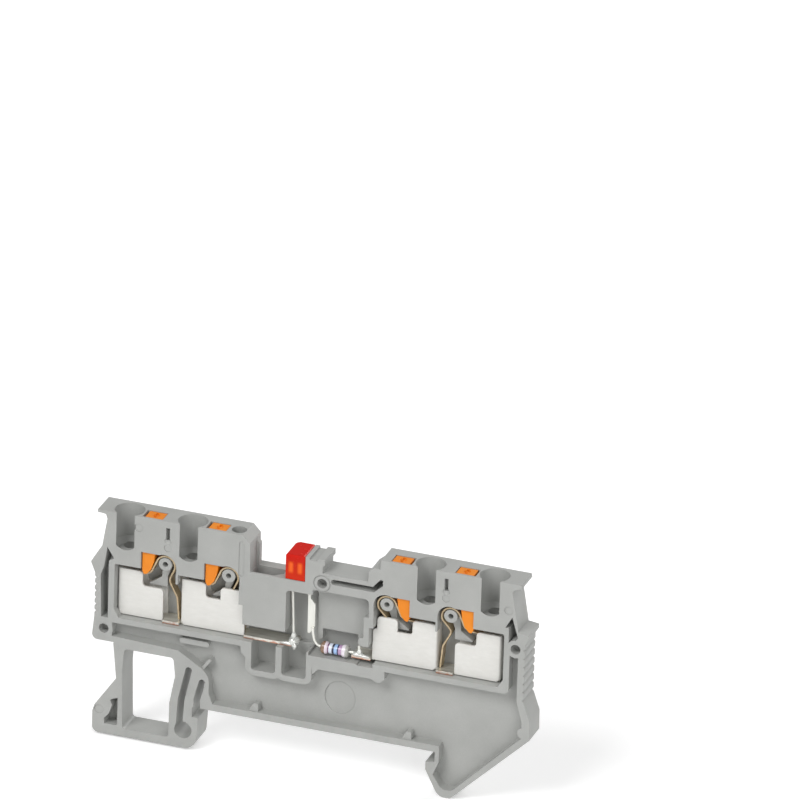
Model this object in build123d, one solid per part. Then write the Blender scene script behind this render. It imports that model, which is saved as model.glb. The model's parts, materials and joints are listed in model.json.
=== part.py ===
from build123d import *
import os
from math import cos, radians, sin, tan

# Frame: X runs along the block, Y across it from the open front face, Z up.
# The origin is at the middle of the rail seat, on the plane of the rail's lips.

# Block and rail
BLOCK_WIDTH = 4.2
TOP_Z = 27.4
MID_X = -1.5
RAIL_WIDTH = 35.0
RAIL_LIP_SPACE = 1.35
RAIL_LIP_COVER = 1.25
RAIL_GAP = 0.15
RAIL_SIDE_GAP = 0.05

# Walls of the moulding
BACK_WALL = 0.65
FRONT_WALL = 0.5
RIB = 0.85
WEB_DEPTH = 1.6
OUTER_WALL = 1.0

# Clamping points: two on each side of the middle, mirror images of each other
INNER_POST = 11.4
CLAMP_PITCH = 9.15
POST_Z = 20.68
POST_RADIUS = 0.95
POST_SET_BACK = 0.45
POST_WEB_Y = 2.0
POST_HOLE_RADIUS = 0.38
POST_HOLE_DEPTH = 2.0

# Clamp cages, folded from plate
PLATE = 0.35
CAGE_FRONT_Y = 1.2
CAGE_GAP = 0.05
CAGE_OUTER = 7.05
CAGE_BOTTOM_Z = 11.75
CAGE_TOP_Z = 18.6
CAGE_LEDGE_Z = 16.45
CAGE_HORN_Z = 18.3
CAGE_CORNER = 0.5
CAGE_CHAMFER = 0.5
OUTER_CAGE_INNER = -0.5
INNER_CAGE_INNER = 2.15
NOTCH_OUTER = 3.5
NOTCH_INNER = 1.35
HORN_INNER = 1.55

# Metal pocket around the cages
POCKET_TOP_Z = 19.65
POCKET_FLOOR_Z = 11.6
POCKET_OUTER = 0.1
POCKET_OUTER_RIGHT = 0.7
POCKET_CLEAR = 0.15
NUB_WIDTH = 0.8
NUB_HEIGHT = 1.4
CHANNEL_TOP_Z = 14.05

# Current bars
BAR_THICKNESS = 0.4
BAR_FRONT_Y = 0.8
BAR_GAP = 0.05
LEFT_BAR_END_X = -3.3
RIGHT_BAR_END_X = 4.9

# Leaf springs
SPRING_THICKNESS = 0.22
SPRING_CLEAR = 0.1
SPRING_LOOP_RADIUS = 1.42
SPRING_SAG = 0.2
SPRING_LEG_ANGLE = 19.0
SPRING_FOOT_ANGLE = 207.0
SPRING_END_Z = 14.6
SPRING_CORNER_Z = 18.35
SPRING_BEND_T = 3.4
SPRING_BEND_Z = 18.1
SPRING_WAIST_Z = 17.8
SPRING_KNEE = 0.3
SPRING_KNEE_Z = 15.45
SPRING_FOOT = 0.4

# Push buttons
BUTTON_WALL = 0.3
BUTTON_DEPTH = 2.1
BUTTON_GAP = 0.1
BUTTON_INNER = 0.55
BUTTON_OUTER = 3.3
BUTTON_HEAD_OUTER = 3.05
BUTTON_HEAD_Z = 24.4
BUTTON_SET_DOWN = 0.1
BUTTON_TIP_Z = 18.75
BUTTON_WEDGE_T = 1.45
BUTTON_SHOULDER_Z = 23.5
BUTTON_CLEAR = 0.1
BUTTON_TRAVEL = 1.5
DIMPLE_RADIUS = 0.75
DIMPLE_DEPTH = 0.5

# Openings in the top
FUNNEL_OFFSET = 5.7
FUNNEL_RADIUS = 2.1
FUNNEL_CENTRE_Y = 1.65
FUNNEL_FLOOR_Z = 21.7
FUNNEL_CONE = 0.8
FUNNEL_FLOOR_RADIUS = 1.4
BORE_RADIUS = 1.0
WINDOW_TOP_Z = 22.15
CHAMBER_RADIUS = 1.75
CHAMBER_Z = 20.55
TEST_HOLE_X = -11.88
TEST_HOLE_Y = 1.5
TEST_HOLE_RADIUS = 1.05
TEST_HOLE_FLOOR_Z = 22.9

# Middle of the block
SHELF_Z = 22.05
BRIDGE_LEFT_X = -9.65
BRIDGE_RIGHT_X = -5.3
BRIDGE_FRONT_Y = 0.35
BRIDGE_BACK_Y = 2.65
BRIDGE_FLOOR_Z = 15.2
LENS_LEFT_X = -4.6
LENS_WIDTH = 2.85
LENS_HEIGHT = 3.8
LENS_WALL = 0.5
LENS_GAP = 0.05
RIDGE_RIGHT_X = 1.05
RIDGE_TOP_Z = 25.85
MARKER_FLOOR_Z = 23.85
MARKER_RIGHT_X = 7.3
RIGHT_TOP_X = 9.05

# Indicator and its series resistor
LED_Y = 1.5
LED_RADIUS = 0.9
LED_FLANGE_RADIUS = 1.05
LED_FLANGE = 0.5
LED_BASE_Z = 20.6
LED_HEIGHT = 3.7
LEAD_RADIUS = 0.19
LEAD_SPACING = 1.7
LEAD_END_Z = 11.0
LEAD_LEAN = 0.45
PADDLE_LEFT_X = -1.7
PADDLE_WIDTH = 1.05
PADDLE_TOP_Z = 18.25
PADDLE_LOW_Z = 15.0
PADDLE_TIP_Z = 13.9
PADDLE_THICKNESS = 0.3
RESISTOR_Y = 1.1
RESISTOR_LEFT_X = 0.55
RESISTOR_LENGTH = 3.9
RESISTOR_RADIUS = 0.72
RESISTOR_CAP_RADIUS = 0.86
RESISTOR_CAP = 0.75
SOLDER_RADIUS = 0.8
SOLDER_HEIGHT = 0.85
SOLDER_LENGTH = 1.7
SOLDER_GAP = 0.02
SOLDER_BED = 0.05
LED_BAY_LEFT_X = -4.4
LED_BAY_RIGHT_X = -0.5
LED_BAY_TOP_Z = 20.35

# Stacking pins and the sockets that take a neighbour's pins
SOCKET_RADIUS = 0.7
SOCKET_DEPTH = 1.4
PIN_GAP = 0.05
PIN_LENGTH = 1.2
BOSS_RADIUS = 1.3
LEFT_SOCKET = (-30.6, 9.65)
MIDDLE_SOCKET = (0.7, 22.3)
RIGHT_SOCKET = (28.55, 17.7)

# Outer form
LEFT_WALL_X = -32.0
RIGHT_WALL_X = 29.95
LEFT_LIP_X = -31.8
RIGHT_LIP_X = 29.1
GRIP_DEPTH = 0.28
LEFT_GRIP_PITCH = 1.0
LEFT_GRIP_Z = 12.1
LEFT_GRIPS = 6
RIGHT_GRIP_PITCH = 1.25
RIGHT_GRIP_Z = 10.2
RIGHT_GRIPS = 7
FOOT_BOTTOM_Z = -6.25
FOOT_BEYOND_RAIL = 14.5
HOOK_BOTTOM_Z = -6.5
HOOK_BEYOND_RAIL = 1.8
SLOT_WIDTH = 0.95
BULB_RADIUS = 1.25

POCKET_BACK_Y = BLOCK_WIDTH - BACK_WALL
CAGE_BACK_Y = POCKET_BACK_Y - CAGE_GAP
CLAMP_Y = (CAGE_FRONT_Y + CAGE_BACK_Y) / 2
OUTER_POST = INNER_POST + CLAMP_PITCH
CLAMPS = [(-1, OUTER_POST), (-1, INNER_POST), (1, INNER_POST), (1, OUTER_POST)]
POCKET_OUTER_U = OUTER_POST + CAGE_OUTER + POCKET_OUTER
SPRING_WIDTH = CAGE_BACK_Y - CAGE_FRONT_Y - 2 * (PLATE + SPRING_CLEAR)
SPRING_Z = POST_Z - SPRING_SAG
SPRING_END_T = CAGE_OUTER - PLATE - SPRING_CLEAR * 3
SPRING_FOOT_T = CAGE_OUTER - CLAMP_PITCH + SPRING_FOOT
BUTTON_Y = BUTTON_WALL + BUTTON_GAP / 2
BAR_BOTTOM_Z = POCKET_FLOOR_Z + BAR_GAP
BAR_TOP_Z = BAR_BOTTOM_Z + BAR_THICKNESS
LENS_RIGHT_X = LENS_LEFT_X + LENS_WIDTH
LENS_TOP_Z = SHELF_Z + LENS_HEIGHT
LED_X = LENS_LEFT_X + LENS_WIDTH / 2
RESISTOR_RIGHT_X = RESISTOR_LEFT_X + RESISTOR_LENGTH
RESISTOR_Z = BAR_TOP_Z + SOLDER_BED + LEAD_RADIUS
LEFT_LEAD_X = LED_X - LEAD_SPACING / 2
RIGHT_LEAD_X = LED_X + LEAD_SPACING / 2
LEAD_FOOT_X = LEFT_LEAD_X + LEAD_LEAN
PADDLE_RIGHT_X = PADDLE_LEFT_X + PADDLE_WIDTH
FOOTED = (Align.CENTER, Align.CENTER, Align.MIN)
FOOT_RIGHT_X = -RAIL_WIDTH / 2 + RAIL_LIP_COVER
HOOK_LEFT_X = RAIL_WIDTH / 2 - RAIL_LIP_COVER
SEAT_LEFT_X = -RAIL_WIDTH / 2 + SLOT_WIDTH + 0.15
HOOK_CENTRE_X = RAIL_WIDTH / 2 + HOOK_BEYOND_RAIL
FOOT_LEFT_X = -RAIL_WIDTH / 2 - FOOT_BEYOND_RAIL


def outline(*points):
    """A closed straight-sided face in the XZ view."""
    return make_face(Polyline(*points, close=True))


def rounded(face, radius, *points):
    """Round the corners of a face that lie nearest to the given points."""
    corners = [face.vertices().sort_by_distance((x, z))[0] for x, z in points]
    return fillet(corners, radius)


def rectangle(left, bottom, right, top):
    """A face between two opposite corners."""
    return Pos((left + right) / 2, (bottom + top) / 2) * Rectangle(right - left, top - bottom)


def disc(x, z, radius):
    """A round face."""
    return Pos(x, z) * Circle(radius)


def prism(face, front, back):
    """Carry a face of the XZ view from one depth to another."""
    return extrude(Plane.XZ.offset(-back) * face, amount=back - front)


def upright(x, y, radius, bottom, top):
    """A vertical cylinder."""
    return Pos(x, y, bottom) * extrude(Circle(radius), amount=top - bottom)


def seat(part, clamp):
    """Put a part that is modelled at its post into its place, mirrored on the left."""
    side, distance = clamp
    if side < 0:
        part = mirror(part, about=Plane.YZ)
    return Pos(MID_X + side * distance, 0, 0) * part


# Outer form of the housing

def upper_form():
    """The body above the rail, with its lips, stepped top and end walls."""
    left_top = MID_X - INNER_POST + 2.1
    face = outline(
        (LEFT_LIP_X, TOP_Z),
        (left_top, TOP_Z),
        (BRIDGE_LEFT_X - 0.1, TOP_Z - 1.1),
        (BRIDGE_LEFT_X, SHELF_Z),
        (LENS_RIGHT_X, SHELF_Z),
        (LENS_RIGHT_X, RIDGE_TOP_Z),
        (RIDGE_RIGHT_X, RIDGE_TOP_Z),
        (RIDGE_RIGHT_X, MARKER_FLOOR_Z + 1.2),
        (RIDGE_RIGHT_X - 0.3, MARKER_FLOOR_Z + 1.0),
        (RIDGE_RIGHT_X - 0.3, MARKER_FLOOR_Z),
        (MARKER_RIGHT_X, MARKER_FLOOR_Z),
        (MARKER_RIGHT_X, MARKER_FLOOR_Z + 1.5),
        (RIGHT_TOP_X - 0.9, MARKER_FLOOR_Z + 2.2),
        (RIGHT_TOP_X - 0.1, MARKER_FLOOR_Z + 2.1),
        (RIGHT_TOP_X, TOP_Z),
        (RIGHT_LIP_X, TOP_Z),
        (RIGHT_LIP_X + 0.1, TOP_Z - 0.5),
        (RIGHT_LIP_X - 1.25, TOP_Z - 1.1),
        (RIGHT_LIP_X - 0.2, TOP_Z - 7.1),
        (RIGHT_WALL_X + 0.45, TOP_Z - 7.3),
        (RIGHT_WALL_X + 0.45, TOP_Z - 7.9),
        (RIGHT_WALL_X, TOP_Z - 8.7),
        (RIGHT_WALL_X, 10.0),
        (RIGHT_WALL_X + 0.95, 7.3),
        (RIGHT_WALL_X + 1.0, 4.4),
        (HOOK_CENTRE_X + 0.6, HOOK_BOTTOM_Z),
        (HOOK_CENTRE_X - 1.1, HOOK_BOTTOM_Z),
        (HOOK_LEFT_X, -2.7),
        (HOOK_LEFT_X, -RAIL_LIP_SPACE - 0.2),
        (RAIL_WIDTH / 2 + RAIL_SIDE_GAP, -RAIL_LIP_SPACE),
        (RAIL_WIDTH / 2 + RAIL_SIDE_GAP, RAIL_GAP),
        (SEAT_LEFT_X, RAIL_GAP),
        (SEAT_LEFT_X, 7.8),
        (LEFT_WALL_X - 0.35, 7.8),
        (LEFT_WALL_X, 11.3),
        (LEFT_WALL_X, TOP_Z - 9.6),
        (LEFT_WALL_X - 0.65, TOP_Z - 8.0),
        (LEFT_WALL_X + 0.95, TOP_Z - 5.3),
        (LEFT_LIP_X + 1.4, TOP_Z - 1.2),
        (LEFT_LIP_X + 1.2, TOP_Z - 0.5),
        (LEFT_LIP_X, TOP_Z - 0.4),
    )
    face = rounded(face, 1.6, (HOOK_CENTRE_X + 0.6, HOOK_BOTTOM_Z), (HOOK_CENTRE_X - 1.1, HOOK_BOTTOM_Z))
    face = rounded(face, 0.8, (LEFT_WALL_X - 0.35, 7.8))
    return rounded(
        face,
        0.3,
        (LEFT_WALL_X - 0.65, TOP_Z - 8.0),
        (LEFT_LIP_X + 1.2, TOP_Z - 0.5),
        (RIGHT_LIP_X - 1.25, TOP_Z - 1.1),
        (MARKER_RIGHT_X, MARKER_FLOOR_Z + 1.5),
    )


def foot_form():
    """The sprung foot that hooks under the left lip of the rail."""
    lip_left_x = -RAIL_WIDTH / 2
    face = outline(
        (SEAT_LEFT_X, 8.0),
        (FOOT_LEFT_X + 2.8, 8.0),
        (FOOT_LEFT_X + 3.35, 2.4),
        (FOOT_LEFT_X + 0.3, -2.1),
        (FOOT_LEFT_X, -3.1),
        (FOOT_LEFT_X, FOOT_BOTTOM_Z),
        (FOOT_RIGHT_X - 0.7, FOOT_BOTTOM_Z),
        (FOOT_RIGHT_X - 0.4, -RAIL_LIP_SPACE),
        (lip_left_x - RAIL_SIDE_GAP, -RAIL_LIP_SPACE),
        (lip_left_x - RAIL_SIDE_GAP, RAIL_GAP),
        (SEAT_LEFT_X, RAIL_GAP),
    )
    face = rounded(face, 0.9, (FOOT_LEFT_X, FOOT_BOTTOM_Z))
    face = rounded(face, 1.8, (FOOT_RIGHT_X - 0.7, FOOT_BOTTOM_Z))
    return rounded(face, 0.4, (FOOT_LEFT_X + 2.8, 8.0))


def foot_window():
    """The large window that lets the foot flex."""
    left = FOOT_LEFT_X + 4.4
    right = left + 7.2
    bottom = FOOT_BOTTOM_Z + 1.2
    top = bottom + 12.1
    face = outline(
        (left, bottom),
        (right - 0.5, bottom),
        (right - 0.45, 0.2),
        (right + 0.3, 4.4),
        (right, top),
        (left + 0.05, top),
        (left - 0.2, 3.7),
    )
    corners = [(left, bottom), (right - 0.5, bottom), (right, top), (left + 0.05, top)]
    return rounded(face, 0.5, *corners)


def hook_slots():
    """The long slot with its bulb, and the short slot that opens at the rail seat."""
    long_top = (SEAT_LEFT_X - 1.75, 5.6)
    long_line = Polyline(long_top, (SEAT_LEFT_X - 2.75, 1.0), (SEAT_LEFT_X - 3.0, -3.7))
    short_top = (SEAT_LEFT_X + 0.2, 4.1)
    short_low = (SEAT_LEFT_X - SLOT_WIDTH / 2, 1.4)
    short_line = Polyline(short_top, short_low, (SEAT_LEFT_X - SLOT_WIDTH / 2, RAIL_GAP - 0.1))
    bulb = disc(SEAT_LEFT_X - 2.4, -3.55, BULB_RADIUS)
    face = trace(long_line, SLOT_WIDTH) + disc(*long_top, SLOT_WIDTH / 2) + bulb
    return face + trace(short_line, SLOT_WIDTH) + disc(*short_top, SLOT_WIDTH / 2)


def grips(x, bottom, count, pitch, side):
    """Finger grips: a row of notches down an end wall."""
    notch = outline((0.1 * side, -0.35), (0.1 * side, 0.35), (-GRIP_DEPTH * side, 0.0))
    row = Sketch()
    for index in range(count):
        row += Pos(x, bottom + index * pitch) * notch
    return row


def silhouette():
    """The whole front view of the housing, with all through openings."""
    face = upper_form() + foot_form()
    face -= foot_window()
    face -= hook_slots()
    face -= grips(LEFT_WALL_X, LEFT_GRIP_Z, LEFT_GRIPS, LEFT_GRIP_PITCH, -1)
    face -= grips(RIGHT_WALL_X, RIGHT_GRIP_Z, RIGHT_GRIPS, RIGHT_GRIP_PITCH, 1)
    return face


# Pockets of the housing

def pocket_end(side):
    """How far from the middle the metal pocket ends; the right one is the longer."""
    return POCKET_OUTER_U if side < 0 else POCKET_OUTER_U + POCKET_OUTER_RIGHT


def metal_pocket(side):
    """The pocket that holds two cages and their current bar, on one side of the middle."""
    inner = INNER_POST - HORN_INNER - POCKET_CLEAR
    step = INNER_POST - INNER_CAGE_INNER - POCKET_CLEAR
    outer = pocket_end(side)
    face = outline(
        (MID_X + side * outer, POCKET_FLOOR_Z),
        (MID_X + side * outer, POCKET_TOP_Z),
        (MID_X + side * inner, POCKET_TOP_Z),
        (MID_X + side * inner, CAGE_LEDGE_Z + 0.5),
        (MID_X + side * step, CAGE_LEDGE_Z + 0.5),
        (MID_X + side * step, POCKET_FLOOR_Z),
    )
    return rounded(face, 0.25, (MID_X + side * outer, POCKET_TOP_Z))


def corner_nub(side):
    """The three-cornered nub in front of a pocket's lower outer corner."""
    wall = MID_X + side * (pocket_end(side) + 0.1)
    tip = MID_X + side * (pocket_end(side) - NUB_WIDTH)
    floor = POCKET_FLOOR_Z - 0.1
    face = outline((wall, floor), (tip, floor), (wall, POCKET_FLOOR_Z + NUB_HEIGHT))
    return prism(face, 0, CAGE_FRONT_Y - BUTTON_GAP)


def channel():
    """The channel between the pockets, under the middle block, for bars and resistor."""
    left = MID_X - INNER_POST + INNER_CAGE_INNER - 0.5
    right = MID_X + INNER_POST - INNER_CAGE_INNER + 0.5
    face = rectangle(left, POCKET_FLOOR_Z, LED_BAY_RIGHT_X, CHANNEL_TOP_Z)
    face += rectangle(LED_BAY_LEFT_X + 3.4, POCKET_FLOOR_Z - 0.4, RESISTOR_RIGHT_X + 1.6, CHANNEL_TOP_Z)
    face += rectangle(RESISTOR_RIGHT_X + 1.5, POCKET_FLOOR_Z - 0.6, right, CHANNEL_TOP_Z)
    return face


def bay_rib():
    """The rib between the lamp's bay and the resistor's, with its rounded lower end."""
    low = CHANNEL_TOP_Z - 1.2
    rib = rectangle(LED_BAY_RIGHT_X, low, LED_BAY_RIGHT_X + 0.75, CHANNEL_TOP_Z + 0.6)
    return rounded(rib, 0.3, (LED_BAY_RIGHT_X, low), (LED_BAY_RIGHT_X + 0.75, low))


def led_bay():
    """The deep bay under the lens, where the two leads of the indicator come down."""
    face = rectangle(LED_BAY_LEFT_X, CHANNEL_TOP_Z - 1.0, LED_BAY_RIGHT_X, LED_BAY_TOP_Z)
    face = rounded(face, 0.5, (LED_BAY_LEFT_X, LED_BAY_TOP_Z))
    return face - disc(*MIDDLE_SOCKET, BOSS_RADIUS)


def side_bay():
    """The shallow bay to the right of the indicator, stepped beside the inner cage."""
    top = SHELF_Z - 0.9
    right = MID_X + INNER_POST - 2.4
    face = rectangle(LED_BAY_RIGHT_X - 0.1, CHANNEL_TOP_Z - 0.2, right, top)
    face = rounded(face, 0.7, (right, top))
    step = rectangle(right - 0.7, CHANNEL_TOP_Z, right + 0.1, CAGE_LEDGE_Z + 2.0)
    toe = rectangle(right - 1.4, CHANNEL_TOP_Z, right + 0.1, CHANNEL_TOP_Z + 1.2)
    face -= rounded(step, 0.3, (right - 0.7, CAGE_LEDGE_Z + 2.0))
    face -= rounded(toe, 0.4, (right - 1.4, CHANNEL_TOP_Z), (right - 1.4, CHANNEL_TOP_Z + 1.2))
    return face - disc(*MIDDLE_SOCKET, BOSS_RADIUS)


def resistor_bay():
    """The pocket that gives the resistor its room."""
    left = LED_BAY_RIGHT_X + 0.75
    return rectangle(left, CHANNEL_TOP_Z - 0.2, left + 5.1, CHANNEL_TOP_Z + 0.5)


def cell_pair():
    """Two small cells below the left bar, with a rib between them."""
    left = BRIDGE_LEFT_X + 0.45
    width = 3.5
    pair = Sketch()
    for index in range(2):
        start = left + index * (width + 0.9)
        cell = rectangle(start, 7.5, start + width, POCKET_FLOOR_Z + 0.1)
        pair += rounded(cell, 0.4, (start, 7.5), (start + width, 7.5))
    return pair


def rib_zone():
    """Everything in the front view that keeps a rib around it, with the thicker shoulders."""
    zone = metal_pocket(-1) + metal_pocket(1) + channel() + cell_pair()
    zone = offset(zone, RIB, kind=Kind.ARC)
    floor = POCKET_FLOOR_Z
    left = outline(
        (BRIDGE_LEFT_X - 1.25, floor),
        (BRIDGE_LEFT_X - 1.05, floor - 1.8),
        (BRIDGE_LEFT_X - 0.3, floor - 2.5),
        (BRIDGE_LEFT_X - 0.3, floor),
    )
    right = outline(
        (LED_BAY_RIGHT_X, floor),
        (LED_BAY_RIGHT_X + 0.1, floor - 3.2),
        (LED_BAY_RIGHT_X + 1.0, floor - 2.25),
        (LED_BAY_RIGHT_X + 8.6, floor - 2.25),
        (LED_BAY_RIGHT_X + 9.3, floor - 2.65),
        (LED_BAY_RIGHT_X + 9.9, floor - 2.65),
        (LED_BAY_RIGHT_X + 10.5, floor - 2.0),
        (LED_BAY_RIGHT_X + 10.5, floor),
    )
    return zone + left + right


def web_recess():
    """The large shallow recess over the lower web, inside the outer rib."""
    left = SEAT_LEFT_X + 1.2
    hook_x = RAIL_WIDTH / 2 + RIB - 0.2
    face = outline(
        (LEFT_WALL_X + 2.6, POCKET_FLOOR_Z + 0.1),
        (LEFT_WALL_X + 2.6, 8.7),
        (left - 4.6, 8.35),
        (left - 1.2, 6.3),
        (left, 5.2),
        (left, 2.6),
        (left + 0.6, RAIL_GAP + 1.0),
        (hook_x, RAIL_GAP + 1.0),
        (hook_x, -1.3),
        (hook_x - 0.8, -3.3),
        (HOOK_CENTRE_X - 0.7, HOOK_BOTTOM_Z + 1.2),
        (HOOK_CENTRE_X + 0.8, HOOK_BOTTOM_Z + 1.2),
        (RIGHT_WALL_X - 0.2, 4.5),
        (RIGHT_WALL_X - 0.2, 7.0),
        (RIGHT_WALL_X - OUTER_WALL, 9.9),
        (RIGHT_WALL_X - OUTER_WALL, RIGHT_SOCKET[1] - 0.9),
        (MID_X + POCKET_OUTER_U - 0.1, RIGHT_SOCKET[1] - 0.9),
        (MID_X + POCKET_OUTER_U - 0.1, POCKET_FLOOR_Z + 0.1),
    )
    face = rounded(face, 1.2, (HOOK_CENTRE_X - 0.7, HOOK_BOTTOM_Z + 1.2), (HOOK_CENTRE_X + 0.8, HOOK_BOTTOM_Z + 1.2))
    face = rounded(face, 0.3, (hook_x, RAIL_GAP + 1.0))
    face = rounded(face, 2.0, (left - 1.2, 6.3), (left, 5.2))
    face -= rib_zone()
    for x, z, radius in [(*LEFT_SOCKET, BOSS_RADIUS), (*RIGHT_SOCKET, BOSS_RADIUS), (RIGHT_WALL_X + 0.1, 5.3, 0.85)]:
        face -= disc(x, z, radius)
    return face


def seat_nubs():
    """Two small nubs that stand on the rib over the rail seat."""
    pair = Sketch()
    for x in (-8.6, 13.5):
        nub = outline((x - 0.9, RAIL_GAP + 0.9), (x + 0.5, RAIL_GAP + 0.9), (x + 0.5, 2.3), (x - 0.2, 2.3))
        pair += rounded(nub, 0.3, (x + 0.5, 2.3), (x - 0.2, 2.3))
    return pair


def end_recesses():
    """The narrow recesses between the outer walls and the walls of the metal pockets."""
    left_wall = MID_X - pocket_end(-1) - RIB
    left = outline(
        (left_wall - 0.95, LEFT_SOCKET[1] + 1.7),
        (left_wall, LEFT_SOCKET[1] + 1.7),
        (left_wall, POCKET_TOP_Z + 0.3),
        (left_wall + 0.75, POCKET_TOP_Z + 0.75),
        (left_wall - 0.25, TOP_Z - 5.4),
        (left_wall - 0.7, POCKET_TOP_Z - 0.7),
        (left_wall - 1.15, POCKET_TOP_Z - 2.0),
    )
    right_wall = MID_X + pocket_end(1) + RIB
    right = outline(
        (right_wall - 0.2, RIGHT_SOCKET[1] + 0.8),
        (right_wall - 0.25, POCKET_TOP_Z + 1.1),
        (right_wall - 0.75, POCKET_TOP_Z + 1.05),
        (right_wall + 0.2, TOP_Z - 5.0),
        (right_wall + 1.1, POCKET_TOP_Z - 0.2),
        (right_wall + 0.75, RIGHT_SOCKET[1] + 1.2),
    )
    face = left + right
    for socket in (LEFT_SOCKET, RIGHT_SOCKET):
        face -= disc(*socket, BOSS_RADIUS)
    return face


def clip_slot():
    """The long slot under the marker floor, with its stepped right end."""
    height = 0.8
    left = MIDDLE_SOCKET[0] + 1.3
    bottom = SHELF_Z + 0.35
    right = MID_X + INNER_POST - 1.8
    face = rectangle(left, bottom, right, bottom + height)
    face = rounded(face, 0.38, (left, bottom), (left, bottom + height))
    tail = outline(
        (right - 0.1, bottom),
        (right + 0.05, bottom),
        (right + 1.3, bottom + 1.1),
        (right + 1.3, bottom + 2.0),
        (right + 0.9, bottom + 2.0),
        (right - 0.1, bottom + height),
    )
    return face + tail


# Openings at one clamping point, modelled at its post and seated by the caller

def button_shaft():
    """The shaft of a push button, from the top face down to the metal pocket."""
    back = BUTTON_Y + BUTTON_DEPTH + BUTTON_GAP / 2
    inner = BUTTON_INNER - BUTTON_GAP
    outer = BUTTON_OUTER + BUTTON_GAP
    return prism(rectangle(inner, POCKET_TOP_Z - 0.1, outer, TOP_Z + 0.1), BUTTON_WALL, back)


def spring_chamber():
    """The open chamber around the post, joined with the button's window."""
    outer = BUTTON_OUTER + BUTTON_GAP
    face = disc(0, CHAMBER_Z, CHAMBER_RADIUS)
    face += rectangle(-CHAMBER_RADIUS, POCKET_TOP_Z - 0.1, outer, CHAMBER_Z)
    face += rectangle(BUTTON_INNER, POST_Z, outer, WINDOW_TOP_Z)
    return prism(face, -0.1, POCKET_BACK_Y)


def conductor_funnel():
    """The round entry, cut open by the front face, with its cone and narrow bore."""
    cone_top = FUNNEL_FLOOR_Z + FUNNEL_CONE
    entry = upright(FUNNEL_OFFSET, FUNNEL_CENTRE_Y, FUNNEL_RADIUS, cone_top, TOP_Z + 0.1)
    cone = Cone(FUNNEL_FLOOR_RADIUS, FUNNEL_RADIUS, FUNNEL_CONE, align=FOOTED)
    entry += Pos(FUNNEL_OFFSET, FUNNEL_CENTRE_Y, FUNNEL_FLOOR_Z) * cone
    bore = upright(FUNNEL_OFFSET, CLAMP_Y, BORE_RADIUS, POCKET_TOP_Z - 0.1, FUNNEL_FLOOR_Z + 0.1)
    return entry + bore


def clamp_openings(clamp):
    """All that is cut for one clamping point."""
    return seat(button_shaft() + spring_chamber() + conductor_funnel(), clamp)


def clamp_post(clamp):
    """The post that the spring loops round, with the web that carries it."""
    neck = SPRING_WAIST_Z + 0.4
    web = outline(
        (POST_RADIUS * 0.9, POST_Z - 0.3),
        (-POST_RADIUS * 0.75, POST_Z - 0.3),
        (0.15, neck),
        (0.15, CAGE_LEDGE_Z + 0.15),
        (2.75, CAGE_LEDGE_Z + 0.15),
        (2.75, CAGE_LEDGE_Z + 0.3),
        (1.0, neck - 0.2),
    )
    post = prism(disc(0, POST_Z, POST_RADIUS), POST_SET_BACK, POCKET_BACK_Y + 0.1)
    post += prism(web, POST_WEB_Y, POCKET_BACK_Y + 0.1)
    hole = prism(disc(0, POST_Z, POST_HOLE_RADIUS), POST_SET_BACK - 0.1, POST_SET_BACK + POST_HOLE_DEPTH)
    return seat(post - hole, clamp)


def spring_stop(clamp):
    """The small fin that hangs beside an outer spring."""
    left = CAGE_OUTER - CLAMP_PITCH + BUTTON_GAP
    low = CAGE_TOP_Z - 0.4
    fin = rectangle(left, low, left + 0.3, POCKET_TOP_Z + 0.1)
    fin = rounded(fin, 0.12, (left, low), (left + 0.3, low))
    return seat(prism(fin, 0, CAGE_FRONT_Y - BUTTON_GAP), clamp)


def depth_marks():
    """Slits with a scooped lower end beside the outer buttons, and shallow marks in the front face."""
    slits = Sketch()
    marks = Sketch()
    scoops = Part()
    for x in (MID_X - OUTER_POST + 0.45, MID_X + OUTER_POST - 0.6):
        slits += rectangle(x - 0.27, TOP_Z - 2.9, x + 0.27, TOP_Z - 1.0)
        marks += disc(x, TOP_Z - 4.0, 0.55)
        scoops += Pos(x, -0.3, TOP_Z - 3.0) * Sphere(0.6)
    marks += disc(MID_X - OUTER_POST - 3.8, TOP_Z - 1.7, 0.6)
    marks += disc(RIGHT_LIP_X - 1.7, TOP_Z - 4.1, 0.6)
    marks += disc(FOOT_LEFT_X + 0.95, FOOT_BOTTOM_Z + 3.55, 0.65)
    marks += Pos(BRIDGE_LEFT_X - 1.3, TOP_Z - 3.6) * SlotOverall(5.2, 0.75, rotation=90)
    ring = disc(*MIDDLE_SOCKET, BOSS_RADIUS - 0.05) - disc(*MIDDLE_SOCKET, BOSS_RADIUS - 0.2)
    return prism(slits, -0.1, 1.0) + prism(marks + ring, -0.1, 0.1) + scoops


def bridge_shaft():
    """The deep shaft for a plug-in bridge, behind a thin front wall."""
    plan = Polyline(
        (BRIDGE_LEFT_X + 0.05, BRIDGE_FRONT_Y),
        (BRIDGE_RIGHT_X - 1.0, BRIDGE_FRONT_Y),
        (BRIDGE_RIGHT_X, BRIDGE_FRONT_Y + 1.0),
        (BRIDGE_RIGHT_X, BRIDGE_BACK_Y),
        (BRIDGE_LEFT_X + 0.05, BRIDGE_BACK_Y),
        close=True,
    )
    return Pos(0, 0, BRIDGE_FLOOR_Z) * extrude(make_face(plan), amount=SHELF_Z - BRIDGE_FLOOR_Z + 0.1)


def lamp_well():
    """The well under the lens that takes the indicator lamp."""
    radius = LEAD_SPACING / 2 + LEAD_RADIUS + LENS_GAP
    return upright(LED_X, LED_Y, radius, LED_BAY_TOP_Z - 0.1, SHELF_Z + 0.1)


def lead_pit():
    """The pit under the left bar, for the end of the lamp's lead."""
    return upright(LEAD_FOOT_X, LED_Y, 0.5, LEAD_END_Z - 0.2, POCKET_FLOOR_Z + 0.1)


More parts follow.
